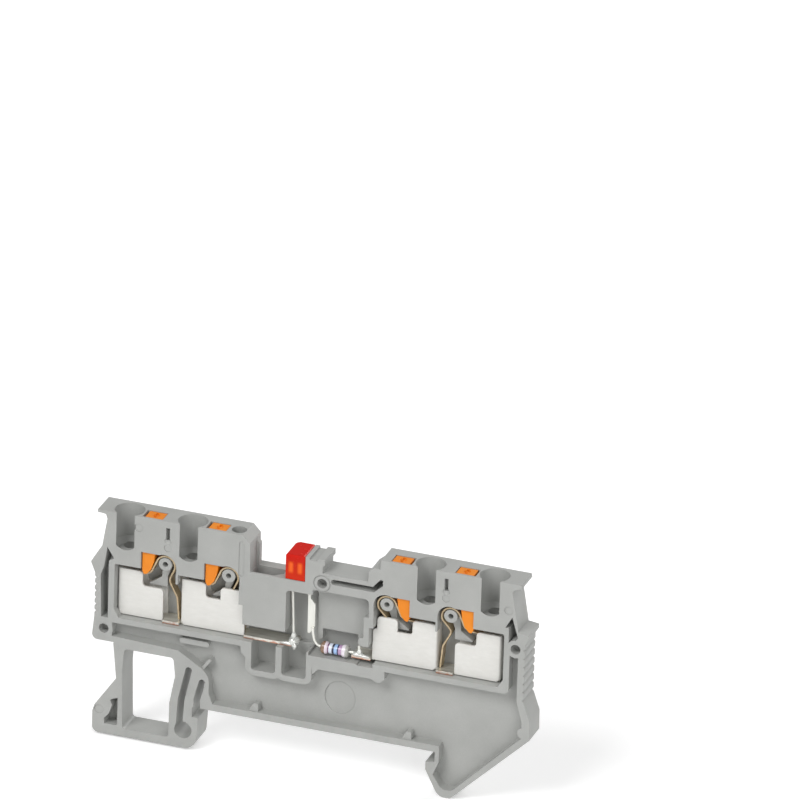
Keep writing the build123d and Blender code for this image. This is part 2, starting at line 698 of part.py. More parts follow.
def ridge_groove():
    """The groove along the top of the ridge beside the lens."""
    face = rectangle(LENS_RIGHT_X + 0.6, RIDGE_TOP_Z - 0.35, LENS_RIGHT_X + 1.7, RIDGE_TOP_Z + 0.1)
    return prism(face, -0.1, BLOCK_WIDTH + 0.1)


def cut_sockets(body):
    """Blind sockets in the front for the pins of the neighbouring block."""
    for socket in (LEFT_SOCKET, MIDDLE_SOCKET, RIGHT_SOCKET):
        body -= prism(disc(*socket, SOCKET_RADIUS), -0.1, SOCKET_DEPTH)
    return body


def stacking_pins():
    """Pins on the back that enter the next block's sockets."""
    pins = Part()
    for socket in (LEFT_SOCKET, MIDDLE_SOCKET, RIGHT_SOCKET):
        pin = prism(disc(*socket, SOCKET_RADIUS - PIN_GAP), BLOCK_WIDTH - 0.1, BLOCK_WIDTH + PIN_LENGTH)
        pins += chamfer(pin.edges().group_by(Axis.Y)[-1], 0.2)
    return pins


def foot_relief():
    """The hooked recess in the release ledge of the foot."""
    right = FOOT_LEFT_X + 3.65
    low = FOOT_BOTTOM_Z + 1.5
    face = outline(
        (right, low),
        (right, low + 4.2),
        (right - 1.15, low + 3.8),
        (right - 0.8, low + 3.0),
        (right - 1.25, low + 1.6),
        (right - 1.95, low + 0.8),
        (right - 1.85, low),
    )
    return prism(rounded(face, 0.3, (right, low), (right - 1.95, low + 0.8), (right - 1.15, low + 3.8)), -0.1, 2.0)


def web_details(body):
    """Round relief, raised bar and slit on the lower web, and the scallop beside the bridge."""
    relief = Pos(3.2, 4.9) * Ellipse(2.2, 2.45)
    body -= prism(relief, WEB_DEPTH - 0.1, WEB_DEPTH + 0.15)
    bar = Pos(MID_X - INNER_POST - 4.8, POCKET_FLOOR_Z - 2.0) * SlotOverall(4.3, 0.8)
    body += prism(bar, WEB_DEPTH - 0.9, WEB_DEPTH + 0.1)
    start = (SEAT_LEFT_X + 0.1, 6.1)
    body += prism(trace(Polyline(start, (start[0] + 1.1, start[1] + 1.5)), 0.45), 0.4, WEB_DEPTH + 0.1)
    slit = Pos(MID_X - INNER_POST - 4.65, POCKET_FLOOR_Z - 1.35) * SlotOverall(4.1, 0.3)
    body -= prism(slit, -0.1, WEB_DEPTH + 1.2)
    fin = outline(
        (BRIDGE_LEFT_X - 0.3, SHELF_Z),
        (BRIDGE_LEFT_X + 0.35, SHELF_Z),
        (BRIDGE_LEFT_X + 0.35, TOP_Z - 2.2),
        (BRIDGE_LEFT_X - 0.3, TOP_Z - 1.2),
    )
    return body + prism(fin, BRIDGE_BACK_Y, BRIDGE_BACK_Y + 0.9)


def make_housing():
    """The moulded housing, one piece with its sprung foot."""
    body = prism(silhouette(), 0, BLOCK_WIDTH)
    body -= prism(web_recess(), -0.1, WEB_DEPTH)
    body += prism(seat_nubs(), 0.3, WEB_DEPTH + 0.1)
    body -= prism(end_recesses(), -0.1, WEB_DEPTH + 0.8)
    body -= prism(metal_pocket(-1) + metal_pocket(1) + channel(), -0.1, POCKET_BACK_Y)
    body -= prism(led_bay() + resistor_bay(), -0.1, POCKET_BACK_Y)
    body -= prism(side_bay(), -0.1, WEB_DEPTH + 0.6)
    body += prism(bay_rib(), WEB_DEPTH + 0.6, POCKET_BACK_Y + 0.1)
    body -= prism(cell_pair(), -0.1, WEB_DEPTH + 1.4)
    body -= prism(clip_slot(), -0.1, WEB_DEPTH + 1.7)
    for clamp in CLAMPS:
        body -= clamp_openings(clamp)
        body += clamp_post(clamp)
    body += spring_stop(CLAMPS[0]) + spring_stop(CLAMPS[-1]) + corner_nub(-1) + corner_nub(1)
    body -= upright(TEST_HOLE_X, TEST_HOLE_Y, TEST_HOLE_RADIUS, TEST_HOLE_FLOOR_Z, TOP_Z + 0.1)
    body -= ridge_groove()
    body -= bridge_shaft() + lamp_well() + lead_pit() + depth_marks() + foot_relief()
    body = web_details(cut_sockets(body))
    return body + stacking_pins()


# Metal parts at one clamping point

def cage_outline(inner):
    """The front view of a cage plate: a column over the entry and a ledge beside it."""
    face = outline(
        (CAGE_OUTER - CAGE_CHAMFER, CAGE_BOTTOM_Z),
        (CAGE_OUTER, CAGE_BOTTOM_Z + CAGE_CHAMFER),
        (CAGE_OUTER, CAGE_TOP_Z),
        (NOTCH_OUTER, CAGE_TOP_Z),
        (NOTCH_OUTER, CAGE_LEDGE_Z),
        (-inner, CAGE_LEDGE_Z),
        (-inner, CAGE_BOTTOM_Z),
    )
    return rounded(face, CAGE_CORNER, (NOTCH_OUTER, CAGE_TOP_Z), (NOTCH_OUTER, CAGE_LEDGE_Z), (-inner, CAGE_LEDGE_Z))


def cage_horn():
    """The horn of an inner cage, which stands in front of the post's web."""
    face = rectangle(-HORN_INNER, CAGE_LEDGE_Z - CAGE_CORNER * 2, NOTCH_INNER, CAGE_HORN_Z)
    return rounded(face, CAGE_CORNER, (-HORN_INNER, CAGE_HORN_Z), (NOTCH_INNER, CAGE_HORN_Z))


def make_cage(inner, horned):
    """A cage: front and back plates joined by the wall that the conductor is pressed on."""
    face = cage_outline(inner)
    back = prism(face, CAGE_BACK_Y - PLATE, CAGE_BACK_Y)
    if horned:
        face += cage_horn()
    front = prism(face, CAGE_FRONT_Y, CAGE_FRONT_Y + PLATE)
    wall_face = rectangle(CAGE_OUTER - PLATE, BAR_TOP_Z, CAGE_OUTER, CAGE_TOP_Z)
    wall = prism(wall_face, CAGE_FRONT_Y, CAGE_BACK_Y)
    length = CAGE_OUTER + inner
    plan = Rectangle(length, CAGE_BACK_Y - CAGE_FRONT_Y)
    plan = fillet(plan.vertices().group_by(Axis.X)[-1], PLATE)
    fold = Pos(CAGE_OUTER - length / 2, CLAMP_Y, 0) * extrude(plan, amount=CAGE_TOP_Z)
    return (front + back + wall) & fold


def tangent_point(angle):
    """A point on the spring's loop, at an angle from the outward direction."""
    turn = radians(angle)
    return (SPRING_LOOP_RADIUS * cos(turn), SPRING_Z + SPRING_LOOP_RADIUS * sin(turn))


def spring_leg_t(z):
    """Where the middle of the spring's straight leg is, at a height below the loop."""
    start_t, start_z = tangent_point(SPRING_LEG_ANGLE)
    return start_t + tan(radians(SPRING_LEG_ANGLE)) * (start_z - z)


def spring_line():
    """Middle line of a leaf spring: clamping leg, loop round the post, seated leg."""
    start_t, start_z = tangent_point(SPRING_LEG_ANGLE)
    leg = FilletPolyline(
        (SPRING_END_T, SPRING_END_Z),
        (SPRING_BEND_T, SPRING_BEND_Z),
        (spring_leg_t(SPRING_CORNER_Z), SPRING_CORNER_Z),
        (start_t, start_z),
        radius=[0.4, 0.4],
    )
    loop = CenterArc((0, SPRING_Z), SPRING_LOOP_RADIUS, SPRING_LEG_ANGLE, SPRING_FOOT_ANGLE - SPRING_LEG_ANGLE)
    end_t, end_z = tangent_point(SPRING_FOOT_ANGLE)
    waist_t = end_t + tan(radians(SPRING_FOOT_ANGLE)) * (end_z - SPRING_WAIST_Z)
    seated = FilletPolyline(
        (end_t, end_z),
        (waist_t, SPRING_WAIST_Z),
        (SPRING_FOOT_T + SPRING_KNEE, SPRING_KNEE_Z),
        (SPRING_FOOT_T, BAR_TOP_Z + SPRING_THICKNESS / 2),
        radius=[0.6, 0.9],
    )
    return leg + loop + seated


def make_spring():
    """A leaf spring bent from strip."""
    half = SPRING_WIDTH / 2
    return prism(trace(spring_line(), SPRING_THICKNESS), CLAMP_Y - half, CLAMP_Y + half)


def make_button():
    """A push button: narrower head, body, and the rounded wedge that presses the spring."""
    top = TOP_Z - BUTTON_SET_DOWN
    clear = (SPRING_THICKNESS / 2 + BUTTON_CLEAR) / cos(radians(SPRING_LEG_ANGLE))
    flank_z = BUTTON_TIP_Z + 0.7
    face = outline(
        (BUTTON_HEAD_OUTER, top),
        (BUTTON_INNER, top),
        (BUTTON_INNER, BUTTON_SHOULDER_Z),
        (BUTTON_WEDGE_T, BUTTON_SHOULDER_Z - 1.3),
        (spring_leg_t(POST_Z) + clear, POST_Z),
        (spring_leg_t(flank_z) + clear, flank_z),
        (BUTTON_OUTER - 0.7, BUTTON_TIP_Z + 0.1),
        (BUTTON_OUTER - 0.5, BUTTON_TIP_Z),
        (BUTTON_OUTER - 0.25, BUTTON_TIP_Z),
        (BUTTON_OUTER, BUTTON_TIP_Z + 0.55),
        (BUTTON_OUTER, BUTTON_HEAD_Z - 0.4),
        (BUTTON_HEAD_OUTER, BUTTON_HEAD_Z),
    )
    button = prism(face, BUTTON_Y, BUTTON_Y + BUTTON_DEPTH)
    middle = (BUTTON_HEAD_OUTER + BUTTON_INNER) / 2
    centre_y = BUTTON_Y + BUTTON_DEPTH * 0.55
    dimple = Pos(middle, centre_y, top) * Cone(0.25, DIMPLE_RADIUS, 2 * DIMPLE_DEPTH)
    slot = Pos(middle, centre_y, top) * Box(0.4, BUTTON_DEPTH * 0.7, DIMPLE_DEPTH)
    return button - dimple - slot


# Current path in the middle of the block

def make_bar(side):
    """A current bar: wide where it shows, narrow where the cages straddle it."""
    narrow_front = CAGE_FRONT_Y + PLATE + CAGE_GAP
    narrow_back = CAGE_BACK_Y - PLATE - CAGE_GAP
    outer_end = OUTER_POST + CAGE_OUTER - PLATE / 2
    inner_end = MID_X - LEFT_BAR_END_X if side < 0 else RIGHT_BAR_END_X - MID_X
    inner_cage = INNER_POST - INNER_CAGE_INNER - BUTTON_GAP
    between_start = INNER_POST + CAGE_OUTER + BUTTON_GAP
    between_end = OUTER_POST - OUTER_CAGE_INNER - BUTTON_GAP
    pieces = [
        (inner_end, outer_end, narrow_front, narrow_back),
        (inner_end, inner_cage, BAR_FRONT_Y, CAGE_BACK_Y),
        (between_start, between_end, BAR_FRONT_Y, CAGE_BACK_Y),
    ]
    bar = Part()
    for start, end, front, back in pieces:
        face = rectangle(MID_X + side * start, BAR_BOTTOM_Z, MID_X + side * end, BAR_TOP_Z)
        bar += prism(face, front, back)
    return bar


def make_lens():
    """The lens over the indicator, hollow for the lamp, with a cut corner."""
    front = LENS_GAP
    back = BLOCK_WIDTH - LENS_GAP
    right = LENS_RIGHT_X - LENS_GAP
    face = rectangle(LENS_LEFT_X, SHELF_Z + LENS_GAP, right, LENS_TOP_Z)
    lens = prism(face, front, back)
    lens = chamfer(lens.edges().filter_by(Axis.Z).sort_by_distance((LENS_LEFT_X, back, LENS_TOP_Z))[0], 0.6)
    top_edges = lens.edges().group_by(Axis.Z)[-1].filter_by(Axis.Y)
    lens = fillet(top_edges, 0.3)
    hollow = upright(LED_X, LED_Y, LED_FLANGE_RADIUS, SHELF_Z, LED_BASE_Z + LED_HEIGHT + 0.1)
    return lens - hollow


def make_lamp():
    """The indicator lamp: flange, round body and domed top, turned about its axis."""
    top = LED_BASE_Z + LED_HEIGHT
    shoulder = top - LED_RADIUS
    flange_top = LED_BASE_Z + LED_FLANGE
    profile = Polyline(
        (0, top),
        (0, LED_BASE_Z),
        (LED_FLANGE_RADIUS - 0.05, LED_BASE_Z),
        (LED_FLANGE_RADIUS - 0.05, flange_top),
        (LED_RADIUS, flange_top),
        (LED_RADIUS, shoulder),
    )
    dome = CenterArc((0, shoulder), LED_RADIUS, 0, 90)
    lamp = revolve(Plane.XZ * make_face(profile + dome), Axis.Z)
    return Pos(LED_X, LED_Y, 0) * lamp


def make_lamp_lead_left():
    """The left lead, which leans a little and passes through the left bar."""
    top = Vector(LEFT_LEAD_X, LED_Y, LED_BASE_Z)
    foot = Vector(LEAD_FOOT_X, LED_Y, LEAD_END_Z)
    run = top - foot
    return Plane(foot, x_dir=(0, 1, 0), z_dir=run) * extrude(Circle(LEAD_RADIUS), amount=run.length)


def make_lamp_lead_right():
    """The lead that is flattened to a paddle, where the resistor's wire is joined."""
    wire = 2 * LEAD_RADIUS
    jog = LED_BAY_TOP_Z - 0.15
    face = outline(
        (RIGHT_LEAD_X - LEAD_RADIUS, LED_BASE_Z),
        (RIGHT_LEAD_X + LEAD_RADIUS, LED_BASE_Z),
        (RIGHT_LEAD_X + LEAD_RADIUS, jog),
        (PADDLE_LEFT_X + wire, jog - 0.5),
        (PADDLE_LEFT_X + wire, PADDLE_TOP_Z + 0.9),
        (PADDLE_RIGHT_X, PADDLE_TOP_Z),
        (PADDLE_RIGHT_X, PADDLE_LOW_Z),
        (PADDLE_LEFT_X + wire, PADDLE_TIP_Z),
        (PADDLE_LEFT_X + 0.05, PADDLE_TIP_Z),
        (PADDLE_LEFT_X, jog - 0.6),
        (RIGHT_LEAD_X - LEAD_RADIUS, jog - 0.3),
    )
    half = PADDLE_THICKNESS / 2
    return prism(face, LED_Y - half, LED_Y + half)


def make_resistor():
    """The resistor's body, turned, with a swelling at each end."""
    waist = RESISTOR_CAP + 0.2
    neck = RESISTOR_LENGTH - waist
    profile = outline(
        (0, 0),
        (0, RESISTOR_CAP_RADIUS - 0.2),
        (0.2, RESISTOR_CAP_RADIUS),
        (RESISTOR_CAP, RESISTOR_CAP_RADIUS),
        (waist, RESISTOR_RADIUS),
        (neck, RESISTOR_RADIUS),
        (neck + 0.2, RESISTOR_CAP_RADIUS),
        (RESISTOR_LENGTH - 0.2, RESISTOR_CAP_RADIUS),
        (RESISTOR_LENGTH, RESISTOR_CAP_RADIUS - 0.2),
        (RESISTOR_LENGTH, 0),
    )
    body = revolve(profile, Axis.X)
    return Pos(RESISTOR_LEFT_X, RESISTOR_Y, RESISTOR_Z) * body


def bent_wire(radius, *points):
    """A round wire along a bent line in the plane of the resistor."""
    path = Plane.XZ.offset(-RESISTOR_Y) * FilletPolyline(*points, radius=LEAD_RADIUS * 2)
    start = Plane(path @ 0, z_dir=path % 0)
    return sweep(start * Circle(radius), path=path)


def make_resistor_wire_left():
    """The wire that rises to the paddle of the lamp's right lead."""
    x = PADDLE_RIGHT_X + SOLDER_GAP + LEAD_RADIUS
    points = [(RESISTOR_LEFT_X, RESISTOR_Z), (x, RESISTOR_Z), (x, PADDLE_LOW_Z + 0.5)]
    return bent_wire(LEAD_RADIUS, *points)


def make_resistor_wire_right(radius=LEAD_RADIUS):
    """The wire that lies over the right bar and turns up at its end."""
    x = RIGHT_BAR_END_X + 1.0
    points = [(RESISTOR_RIGHT_X, RESISTOR_Z), (x, RESISTOR_Z), (x, RESISTOR_Z + 1.2)]
    return bent_wire(radius, *points)


def make_solder_left():
    """The solder cone that joins the lamp's left lead to the left bar."""
    cone = Cone(SOLDER_RADIUS, LEAD_RADIUS + 0.15, SOLDER_HEIGHT, align=FOOTED)
    return Pos(LEAD_FOOT_X, LED_Y, BAR_TOP_Z) * cone - lead_hole()


def lead_hole():
    """The hole through the left bar and its solder for the lamp's lead."""
    radius = LEAD_RADIUS + SOLDER_GAP * 4
    return upright(LEAD_FOOT_X - SOLDER_GAP * 2, LED_Y, radius, POCKET_FLOOR_Z, LED_BASE_Z)


def make_solder_right():
    """The mound of solder that holds the resistor's right wire on the right bar."""
    middle = Pos(RIGHT_BAR_END_X + 0.1 + SOLDER_LENGTH / 2, BAR_FRONT_Y + SOLDER_RADIUS / 2, BAR_TOP_Z)
    height = RESISTOR_Z - BAR_TOP_Z + LEAD_RADIUS + SOLDER_BED * 2
    mound = extrude(middle * SlotOverall(SOLDER_LENGTH, SOLDER_RADIUS), amount=height, taper=5)
    return mound - make_resistor_wire_right(LEAD_RADIUS + SOLDER_GAP)


def main():
    os.makedirs("parts", exist_ok=True)
    nodes = {"housing": make_housing()}
    for number, clamp in enumerate(CLAMPS, start=1):
        outer = clamp[1] == OUTER_POST
        inner_edge = OUTER_CAGE_INNER if outer else INNER_CAGE_INNER
        nodes[f"push_button_{number}"] = seat(make_button(), clamp)
        nodes[f"clamp_cage_{number}"] = seat(make_cage(inner_edge, not outer), clamp)
        nodes[f"clamp_spring_{number}"] = seat(make_spring(), clamp)
    nodes["current_bar_left"] = make_bar(-1) - lead_hole()
    nodes["current_bar_right"] = make_bar(1)
    nodes["indicator_lens"] = make_lens()
    nodes["indicator_lamp"] = make_lamp()
    nodes["lamp_lead_left"] = make_lamp_lead_left()
    nodes["lamp_lead_right"] = make_lamp_lead_right()
    nodes["resistor_body"] = make_resistor()
    nodes["resistor_wire_left"] = make_resistor_wire_left()
    nodes["resistor_wire_right"] = make_resistor_wire_right()
    nodes["solder_joint_left"] = make_solder_left()
    nodes["solder_joint_right"] = make_solder_right()
    for name, shape in nodes.items():
        export_step(shape, f"parts/{name}.step")


main()
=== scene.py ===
import json
import math

import bmesh
import bpy
from mathutils import Matrix, Vector


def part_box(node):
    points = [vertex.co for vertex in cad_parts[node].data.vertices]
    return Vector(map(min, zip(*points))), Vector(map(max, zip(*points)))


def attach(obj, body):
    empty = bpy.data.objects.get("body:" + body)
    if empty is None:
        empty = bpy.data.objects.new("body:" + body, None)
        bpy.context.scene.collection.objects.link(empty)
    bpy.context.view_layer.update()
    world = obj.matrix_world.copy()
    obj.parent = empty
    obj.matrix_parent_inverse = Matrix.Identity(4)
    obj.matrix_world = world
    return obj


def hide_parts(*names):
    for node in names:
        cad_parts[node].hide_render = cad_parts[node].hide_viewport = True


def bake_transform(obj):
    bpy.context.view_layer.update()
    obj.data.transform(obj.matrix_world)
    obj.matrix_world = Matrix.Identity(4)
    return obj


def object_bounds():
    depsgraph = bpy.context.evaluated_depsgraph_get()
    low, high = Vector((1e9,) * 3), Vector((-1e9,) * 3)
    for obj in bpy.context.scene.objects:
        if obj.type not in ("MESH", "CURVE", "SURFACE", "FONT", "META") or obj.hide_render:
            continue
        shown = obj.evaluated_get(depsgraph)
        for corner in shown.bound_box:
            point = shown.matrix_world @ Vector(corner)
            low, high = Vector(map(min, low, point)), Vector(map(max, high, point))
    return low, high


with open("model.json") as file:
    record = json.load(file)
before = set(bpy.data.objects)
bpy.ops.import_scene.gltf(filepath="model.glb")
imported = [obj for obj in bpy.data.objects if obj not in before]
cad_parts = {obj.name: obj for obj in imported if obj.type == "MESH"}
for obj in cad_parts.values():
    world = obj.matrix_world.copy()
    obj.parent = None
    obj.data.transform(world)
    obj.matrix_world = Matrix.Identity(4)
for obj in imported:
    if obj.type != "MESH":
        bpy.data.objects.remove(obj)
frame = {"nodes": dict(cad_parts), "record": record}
CAD_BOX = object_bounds()
NODES = frame["nodes"]
RECORD = frame["record"]
MOUNTS = {mount["name"]: mount["pos_m"] for mount in RECORD["mounts"]}
MM = 0.001

# Clamps, in mm. "Along" runs from the middle of a post towards the open side of its clamp.
CLAMPS = (1, 2, 3, 4)
POST_TO_ENTRY = 5.7

# Boxes that clear the thin web from the window in front of each button, in mm
WEB_ALONG = (1.6, 3.395)
WEB_DEPTH = (-0.2, 3.5)
WEB_HEIGHT = (20.45, 20.75)
WELD = 0.0002

# Angles in degrees over which an edge shows as a crease
HOUSING_CREASE = 28
PIECE_CREASE = 32

# Leaf springs, in mm: a loop round the post, a leg that clamps the wire and a seated leg
SPRING_THICK = 0.22
SPRING_BACK = 3.05
LEG_FRONT = 1.65
LOOP_FRONT = 0.6
LOOP_R = 1.34
LOOP_Z = 20.46
LOOP_FROM = 24.0
LOOP_TO = 207.0
LOOP_PARTS = 40
LOOP_LEAD = 0.01
WAIST_Z = 17.8
KNEE = (-1.4, LEG_FRONT, 15.45)
FOOT_END = (-1.7, LEG_FRONT, 12.16)
CLAMPING_LEG = (
    (6.4, LEG_FRONT, 14.6),
    (3.45, LEG_FRONT, 18.3),
    (2.6, 1.0, 18.62),
    (2.0, LOOP_FRONT, 19.25),
)
CLAMPING_BEND = 0.5
SEATED_BEND = 1.3

# The resistor's left wire, in mm: points as (along, up), then as (along, up from the body's axis)
WIRE_R = 0.2
WIRE_SIDES = 12
WIRE_TOP = ((-0.8, 14.9), (-0.74, 14.1))
WIRE_TURN = ((-0.5, 0.75), (0.0, 0.16))
WIRE_IN_BODY = 0.2

# Solder, in mm: the middle and the three radii of each drop, and how its lumps turn from drop to drop
DROP_ROWS = 14
DROP_COLUMNS = 22
DROP_WAVE = 0.09
FIRST_TURN = 0.4
NEXT_TURN = 1.3
DROPS_LEFT = (
    ((-3.62, 1.35, 12.3), (0.85, 0.66, 0.6)),
    ((-3.65, 1.45, 13.0), (0.4, 0.4, 0.6)),
    ((-4.3, 0.92, 12.0), (1.1, 0.3, 0.26)),
    ((-3.3, 0.85, 11.85), (0.4, 0.34, 0.42)),
)
DROPS_RIGHT = (
    ((5.75, 0.98, 12.2), (0.95, 0.38, 0.32)),
    ((5.95, 1.1, 12.6), (0.34, 0.34, 0.5)),
    ((6.75, 0.95, 12.1), (0.7, 0.3, 0.2)),
)

# Curves and corners: shares of the way along one, and the most of a side that a corner takes
STEPS = [i / 6 for i in range(7)]
CORNER_SHARE = 0.45

# Bare copper on the bars, in mm: from full to none, going up and going back
COPPER_LOW = (11.66, 11.85)
COPPER_FRONT = (0.8, 0.95)

# The glow in the lens, as shares of the lens: two bars across, their foot, head and front
GLOW_ACROSS = 0.27
GLOW_EDGE = (0.05, 0.16)
GLOW_FOOT = (0.22, 0.34)
GLOW_HEAD = (0.62, 0.74)
GLOW_FRONT = (0.93, 0.99)
GLOW_MOST = 0.75

# The most that the edges of the resistor's bands waver, as a share of the body
BAND_WAVER = 0.006

# Floor in metres and world
FLOOR_HALF = 1.5
FLOOR_WHITE = 0.92
FLOOR_GLOW = 0.3
WORLD_LIGHT = 0.34
WORLD_SEEN = 1.0

# Each light's place and size in metres and its power in watts, and where they all aim
LIGHTS = {
    "key": ((-0.35, -0.75, 0.9), 0.6, 7.6),
    "fill": ((0.6, -0.7, 0.35), 0.6, 2.4),
    "back": ((0.3, 0.9, 0.6), 0.7, 5.0),
}
AIM = (0, 0, 0.01)

# The photograph's camera: its place in metres, its axes, and its lens and sensor in mm
CAMERA_PLACE = (0.57227, -1.6419, 0.86538)
CAMERA_RIGHT = (0.94149, 0.33585, 0.02827)
CAMERA_UP = (-0.16682, 0.39147, 0.90494)
CAMERA_BACK = (0.29285, -0.85671, 0.42459)
CAMERA_LENS = 643.162
CAMERA_SENSOR = 36
CAMERA_REACH = 20


def srgb(r, g, b):
    """A colour as a screen shows it, 0 to 255, as linear values with alpha."""
    def linear(c):
        c /= 255
        return c / 12.92 if c <= 0.04045 else ((c + 0.055) / 1.055) ** 2.4
    return (linear(r), linear(g), linear(b), 1.0)


def grey(value):
    """A grey as linear values with alpha."""
    return (value, value, value, 1)


# Materials

RESISTOR_BANDS = (
    (0.0, srgb(140, 112, 90)),
    (0.15, srgb(238, 224, 234)),
    (0.25, srgb(122, 76, 108)),
    (0.30, srgb(228, 236, 250)),
    (0.42, srgb(34, 38, 70)),
    (0.50, srgb(166, 200, 244)),
    (0.61, srgb(44, 46, 88)),
    (0.66, srgb(190, 156, 192)),
    (0.77, srgb(240, 232, 240)),
    (0.90, srgb(190, 190, 184)),
)


class Nodes:
    """Small helper that builds one node tree."""

    def __init__(self, name):
        self.material = bpy.data.materials.new(name)
        self.material.use_nodes = True
        self.tree = self.material.node_tree
        self.shader = self.tree.nodes["Principled BSDF"]
        self.place = self.add("ShaderNodeTexCoord").outputs["Object"]

    def add(self, kind, **values):
        node = self.tree.nodes.new(kind)
        for key, value in values.items():
            setattr(node, key, value)
        return node

    def put(self, value, socket):
        """Links a socket to an input, or sets the input to a plain value."""
        if isinstance(value, bpy.types.NodeSocket):
            self.tree.links.new(value, socket)
        else:
            socket.default_value = value

    def noise(self, per_mm, detail=3.0, rough=0.5, stretch=(1, 1, 1)):
        """Noise with a number of cells to the millimetre, stretched along an axis if asked."""
        scale = self.add("ShaderNodeMapping")
        scale.inputs["Scale"].default_value = [per_mm / MM * s for s in stretch]
        self.put(self.place, scale.inputs["Vector"])
        noise = self.add("ShaderNodeTexNoise")
        noise.inputs["Scale"].default_value = 1.0
        noise.inputs["Detail"].default_value = detail
        noise.inputs["Roughness"].default_value = rough
        self.put(scale.outputs["Vector"], noise.inputs["Vector"])
        return noise.outputs["Fac"]

    def ramp(self, factor, *stops, interpolation="LINEAR"):
        """Colours along a value, each stop a position and a colour."""
        ramp = self.add("ShaderNodeValToRGB")
        ramp.color_ramp.interpolation = interpolation
        elements = ramp.color_ramp.elements
        while len(elements) < len(stops):
            elements.new(1.0)
        for element, (position, colour) in zip(elements, stops):
            element.position = position
            element.color = colour
        self.put(factor, ramp.inputs["Fac"])
        return ramp.outputs["Color"]

    def mix(self, factor, a, b, blend="MIX"):
        """Colour b over colour a, by a factor."""
        mix = self.add("ShaderNodeMix", data_type="RGBA", blend_type=blend)
        self.put(factor, mix.inputs[0])
        self.put(a, mix.inputs[6])
        self.put(b, mix.inputs[7])
        return mix.outputs[2]

    def span(self, value, low, high, to_low, to_high):
        """A value taken from one range to another, and held at its ends."""
        span = self.add("ShaderNodeMapRange")
        for socket, number in zip(list(span.inputs)[1:5], (low, high, to_low, to_high)):
            socket.default_value = number
        self.put(value, span.inputs[0])
        return span.outputs[0]

    def math(self, operation, a, b=0.0):
        node = self.add("ShaderNodeMath", operation=operation)
        self.put(a, node.inputs[0])
        self.put(b, node.inputs[1])
        return node.outputs[0]

    def axes(self):
        """The object's own x, y and z."""
        split = self.add("ShaderNodeSeparateXYZ")
        self.put(self.place, split.inputs[0])
        return split.outputs

    def surface(self, height, strength, distance_mm, bevel_mm=0.0):
        """Bump, over edges that are rounded a little if asked."""
        bump = self.add("ShaderNodeBump")
        bump.inputs["Strength"].default_value = strength
        bump.inputs["Distance"].default_value = distance_mm * MM
        self.put(height, bump.inputs["Height"])
        if bevel_mm:
            bevel = self.add("ShaderNodeBevel", samples=8)
            bevel.inputs["Radius"].default_value = bevel_mm * MM
            self.put(bevel.outputs[0], bump.inputs["Normal"])
        self.put(bump.outputs[0], self.shader.inputs["Normal"])

    def set(self, **values):
        """Sets or links the shader's inputs, named with _ for each space."""
        for key, value in values.items():
            self.put(value, self.shader.inputs[key.replace("_", " ")])


def moulded(name, dark, light, rough, bevel_mm):
    """Moulded plastic: faint flow clouding, fine spark-eroded grain, slightly uneven gloss."""
    n = Nodes(name)
    base = n.ramp(n.noise(0.25, detail=4.0), (0.3, dark), (0.7, light))
    speck = n.noise(9.0, detail=2.0)
    specks = n.ramp(speck, (0.35, grey(0.30)), (0.65, grey(0.70)))
    n.set(
        Base_Color=n.mix(0.12, base, specks, "SOFT_LIGHT"),
        Roughness=n.span(speck, 0.3, 0.7, rough - 0.05, rough + 0.06),
        Specular_IOR_Level=0.45,
    )
    grain = n.noise(7.0, detail=4.0, rough=0.6)
    n.surface(grain, strength=0.22, distance_mm=0.02, bevel_mm=bevel_mm)
    return n.material


def metal(name, dark, light, rough, stretch, bevel_mm, metallic, relief):
    """Plated or rolled metal: fine drawn lines, small stains and an uneven sheen."""
    n = Nodes(name)
    lines = n.noise(2.0, detail=5.0, rough=0.65, stretch=stretch)
    stain = n.noise(0.5)
    drawn = n.ramp(lines, (0.25, dark), (0.75, light))
    n.set(
        Base_Color=n.mix(n.span(stain, 0.35, 0.7, 0.0, 0.35), drawn, dark),
        Metallic=metallic,
        Roughness=n.span(stain, 0.3, 0.7, rough - 0.06, rough + 0.08),
    )
    n.surface(lines, strength=relief, distance_mm=0.012, bevel_mm=bevel_mm)
    return n.material


def bar_material():
    """Tinned copper, with patches of bare copper on its front, most of them low."""
    n = Nodes("tinned_copper")
    lines = n.noise(1.5, detail=5.0, rough=0.6, stretch=(0.15, 1.5, 1.5))
    tin = n.ramp(lines, (0.3, srgb(206, 203, 192)), (0.7, srgb(240, 238, 230)))
    axes = n.axes()
    low_edge = n.span(axes[2], COPPER_LOW[0] * MM, COPPER_LOW[1] * MM, 0.34, 0.0)
    wear = n.math("ADD", n.noise(1.2, detail=4.0), low_edge)
    front = n.span(axes[1], COPPER_FRONT[0] * MM, COPPER_FRONT[1] * MM, 1.0, 0.0)
    bare = n.math("MULTIPLY", n.span(wear, 0.5, 0.78, 0.0, 1.0), front)
    n.set(
        Base_Color=n.mix(bare, tin, srgb(196, 134, 108)),
        Metallic=0.7,
        Roughness=n.span(lines, 0.3, 0.7, 0.28, 0.42),
    )
    n.surface(lines, strength=0.2, distance_mm=0.015, bevel_mm=0.06)
    return n.material


def lens_glow(n, across, lift, depth):
    """Two upright bars of light, halfway up the front of the lens."""
    from_side = n.math("PINGPONG", across, 0.5)
    from_bar = n.math("ABSOLUTE", n.math("SUBTRACT", from_side, GLOW_ACROSS))
    bars = n.span(from_bar, *GLOW_EDGE, 1.0, 0.0)
    foot = n.span(lift, *GLOW_FOOT, 0.0, 1.0)
    head = n.span(lift, *GLOW_HEAD, 1.0, 0.0)
    front = n.span(depth, *GLOW_FRONT, 0.0, GLOW_MOST)
    return n.math("MULTIPLY", n.math("MULTIPLY", bars, n.math("MULTIPLY", foot, head)), front)


